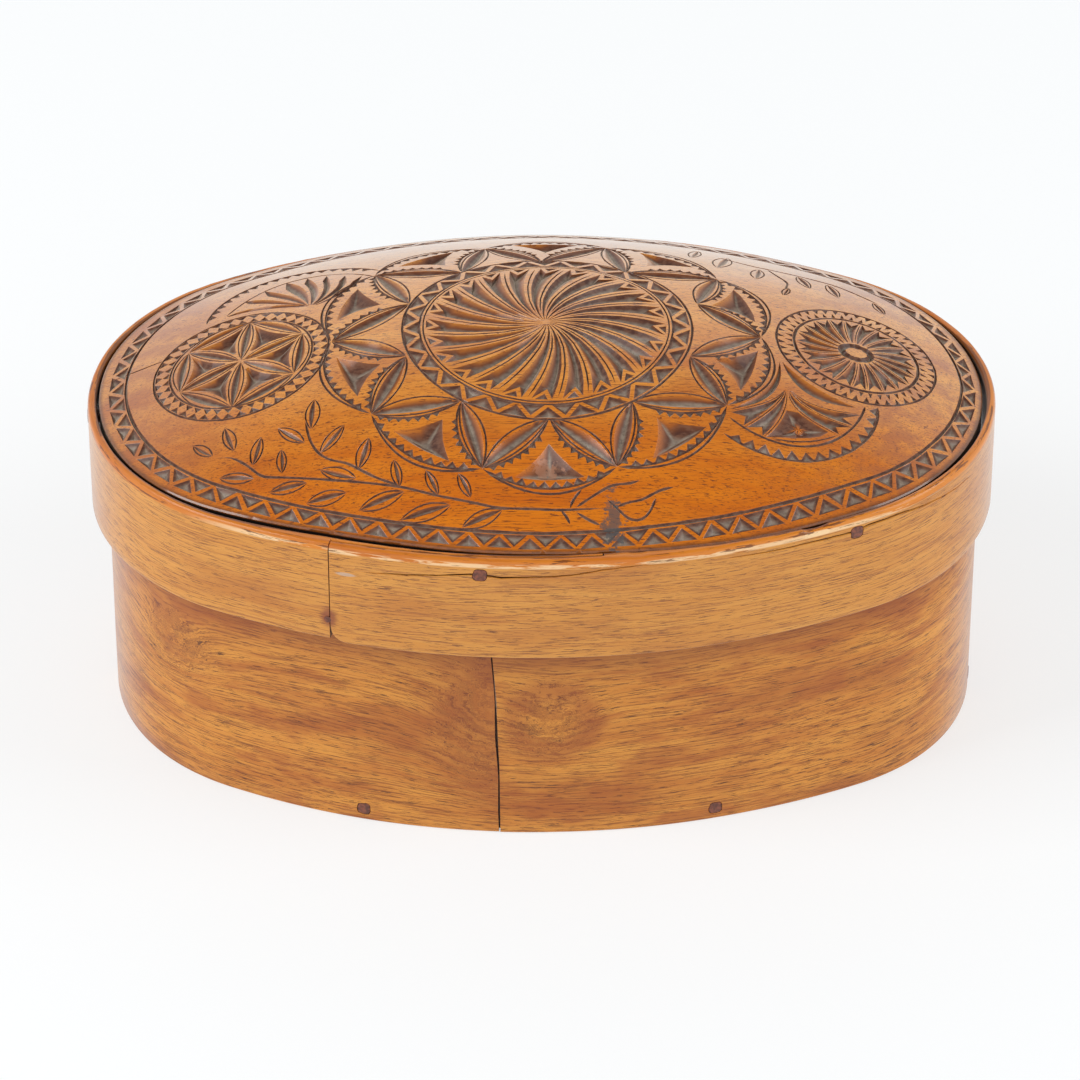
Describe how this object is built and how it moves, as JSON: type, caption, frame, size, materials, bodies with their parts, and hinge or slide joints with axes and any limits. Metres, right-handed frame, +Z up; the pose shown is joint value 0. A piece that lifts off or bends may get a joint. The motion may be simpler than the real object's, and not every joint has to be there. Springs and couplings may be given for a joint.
{
  "type": "carved wooden box",
  "caption": "Oval bentwood box with lapped and pegged bands and a lift-off lid whose domed board is chip carved.",
  "frame": {"origin": "middle of the underside, on the surface the box stands on", "axes": "+X along the length of the oval, to the right of someone facing the laps; +Y to the back; +Z up, the way the lid lifts"},
  "size_m": [0.304, 0.199, 0.1426],
  "materials": {
    "bottom_board": "plain aged wood, oiled",
    "base_band": "warm orange-brown varnish, worn satin",
    "carved_board": "amber varnish, glossy on the ridges, dull and grey-brown in the cuts",
    "lid_band": "golden tan varnish, satin",
    "peg": "dark end grain, varnished"
  },
  "bodies": {
    "base": {"base_board": "bottom_board", "base_band": "base_band", "base_pegs": "peg"},
    "lid": {"lid_board": "carved_board", "lid_band": "lid_band", "lid_pegs": "peg", "lid_lap_peg": "peg"}
  },
  "joints": [
    {"name": "lid_lift", "type": "slide", "parent": "base", "child": "lid", "axis": [0, 0, 1], "range_m": [0, 0.12]}
  ]
}
